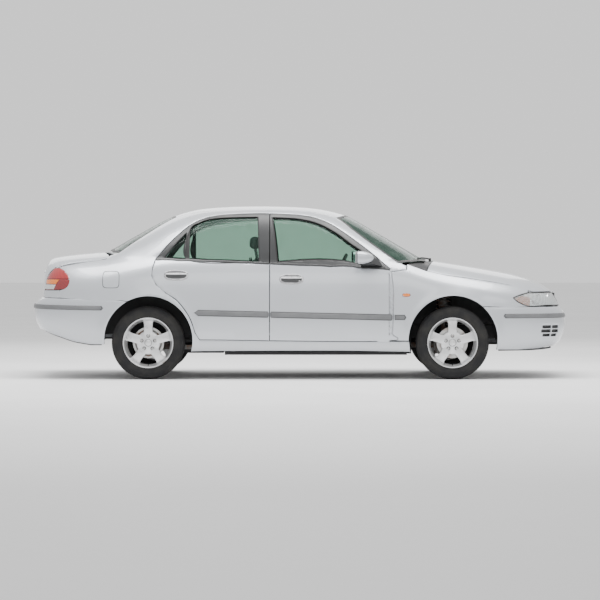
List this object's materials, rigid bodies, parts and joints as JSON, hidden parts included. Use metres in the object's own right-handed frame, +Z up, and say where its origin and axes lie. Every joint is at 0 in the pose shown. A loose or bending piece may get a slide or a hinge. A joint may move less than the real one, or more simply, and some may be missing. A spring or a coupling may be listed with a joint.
{
  "type": "sedan car",
  "caption": "Compact family sedan with hollow glazed cabin, opening doors, hood and trunk, spinning wheels and linked steering.",
  "frame": {"origin": "middle of the car's length and width, on the ground under the tyres", "axes": "+X towards the front of the car, +Y to the driver's left, +Z up"},
  "size_m": [4.4544, 2.0122, 1.4404],
  "materials": {
    "body_paint": "metallic silver, glossy clear coat",
    "underbody_paint": "matt dark underseal",
    "black_plastic": "fine grain",
    "grey_trim": "satin grey",
    "lamp_lens": "clear lens",
    "red_lens": "red lens",
    "tinted_glass": "light green tint",
    "seat_fabric": "woven grey cloth",
    "engine_metal": "dull",
    "steel": "dull steel",
    "tyre_rubber": "matt rubber",
    "alloy": "silver lacquer"
  },
  "bodies": {
    "body": {"floor_pan": "underbody_paint", "firewall": "underbody_paint", "arch_liners": "black_plastic", "body_side_left": "body_paint", "body_side_right": "body_paint", "fender_left": "body_paint", "fender_right": "body_paint", "roof": "body_paint", "front_bumper": "body_paint", "rear_bumper": "body_paint", "grille": "black_plastic", "headlights": "lamp_lens", "tail_lights": "red_lens", "cowl": "black_plastic", "windshield": "tinted_glass", "rear_window": "tinted_glass", "fender_trim": "grey_trim", "dashboard": "black_plastic", "front_seats": "seat_fabric", "rear_seat": "seat_fabric", "parcel_shelf": "black_plastic", "wipers": "black_plastic", "engine_block": "engine_metal", "front_suspension": "underbody_paint", "rear_axle": "underbody_paint", "exhaust": "steel", "fuel_tank": "underbody_paint"},
    "front_door_left": {"front_door_left": "body_paint", "front_glass_left": "tinted_glass", "front_trim_left": "grey_trim", "mirror_left": "body_paint"},
    "rear_door_left": {"rear_door_left": "body_paint", "rear_glass_left": "tinted_glass", "rear_trim_left": "grey_trim"},
    "knuckle_left": {"knuckle_left": "steel"},
    "wheel_front_left": {"tyre_front_left": "tyre_rubber", "rim_front_left": "alloy"},
    "wheel_rear_left": {"tyre_rear_left": "tyre_rubber", "rim_rear_left": "alloy"},
    "front_door_right": {"front_door_right": "body_paint", "front_glass_right": "tinted_glass", "front_trim_right": "grey_trim", "mirror_right": "body_paint"},
    "rear_door_right": {"rear_door_right": "body_paint", "rear_glass_right": "tinted_glass", "rear_trim_right": "grey_trim"},
    "knuckle_right": {"knuckle_right": "steel"},
    "wheel_front_right": {"tyre_front_right": "tyre_rubber", "rim_front_right": "alloy"},
    "wheel_rear_right": {"tyre_rear_right": "tyre_rubber", "rim_rear_right": "alloy"},
    "hood": {"hood": "body_paint"},
    "trunk_lid": {"trunk_lid": "body_paint"},
    "fuel_flap": {"fuel_flap": "body_paint"},
    "steering_wheel": {"steering_wheel": "black_plastic"}
  },
  "joints": [
    {"name": "front_door_left_hinge", "type": "hinge", "parent": "body", "child": "front_door_left", "pos_m": [0.822, 0.846, 0.6], "axis": [0, 0, -1], "range_deg": [0, 65]},
    {"name": "rear_door_left_hinge", "type": "hinge", "parent": "body", "child": "rear_door_left", "pos_m": [-0.198, 0.846, 0.6], "axis": [0, 0, -1], "range_deg": [0, 65]},
    {"name": "knuckle_left_steer", "type": "hinge", "parent": "body", "child": "knuckle_left", "pos_m": [1.258, 0.69, 0.302], "axis": [0, 0, 1], "range_deg": [-34, 34]},
    {"name": "wheel_front_left_spin", "type": "hinge", "parent": "knuckle_left", "child": "wheel_front_left", "pos_m": [1.258, 0.732, 0.302], "axis": [0, 1, 0], "continuous": true},
    {"name": "wheel_rear_left_spin", "type": "hinge", "parent": "body", "child": "wheel_rear_left", "pos_m": [-1.252, 0.732, 0.302], "axis": [0, 1, 0], "continuous": true},
    {"name": "front_door_right_hinge", "type": "hinge", "parent": "body", "child": "front_door_right", "pos_m": [0.822, -0.846, 0.6], "axis": [0, 0, 1], "range_deg": [0, 65]},
    {"name": "rear_door_right_hinge", "type": "hinge", "parent": "body", "child": "rear_door_right", "pos_m": [-0.198, -0.846, 0.6], "axis": [0, 0, 1], "range_deg": [0, 65]},
    {"name": "knuckle_right_steer", "type": "hinge", "parent": "body", "child": "knuckle_right", "pos_m": [1.258, -0.69, 0.302], "axis": [0, 0, 1], "range_deg": [-34, 34]},
    {"name": "wheel_front_right_spin", "type": "hinge", "parent": "knuckle_right", "child": "wheel_front_right", "pos_m": [1.258, -0.732, 0.302], "axis": [0, 1, 0], "continuous": true},
    {"name": "wheel_rear_right_spin", "type": "hinge", "parent": "body", "child": "wheel_rear_right", "pos_m": [-1.252, -0.732, 0.302], "axis": [0, 1, 0], "continuous": true},
    {"name": "hood_hinge", "type": "hinge", "parent": "body", "child": "hood", "pos_m": [1.035, 0, 0.95], "axis": [0, -1, 0], "range_deg": [0, 50]},
    {"name": "trunk_lid_hinge", "type": "hinge", "parent": "body", "child": "trunk_lid", "pos_m": [-1.575, 0, 1.04], "axis": [0, 1, 0], "range_deg": [0, 65]},
    {"name": "fuel_flap_hinge", "type": "hinge", "parent": "body", "child": "fuel_flap", "pos_m": [-1.489, -0.8215, 0.823], "axis": [0, 0, 1], "range_deg": [0, 110]},
    {"name": "steering_wheel_turn", "type": "hinge", "parent": "body", "child": "steering_wheel", "pos_m": [0.33, 0.365, 0.866], "axis": [-0.9135, 0, 0.4067], "range_deg": [-540, 540]}
  ],
  "couplings": [
    {"joint": "knuckle_left_steer", "follows": "steering_wheel_turn", "ratio": 0.0625},
    {"joint": "knuckle_right_steer", "follows": "steering_wheel_turn", "ratio": 0.0625}
  ]
}
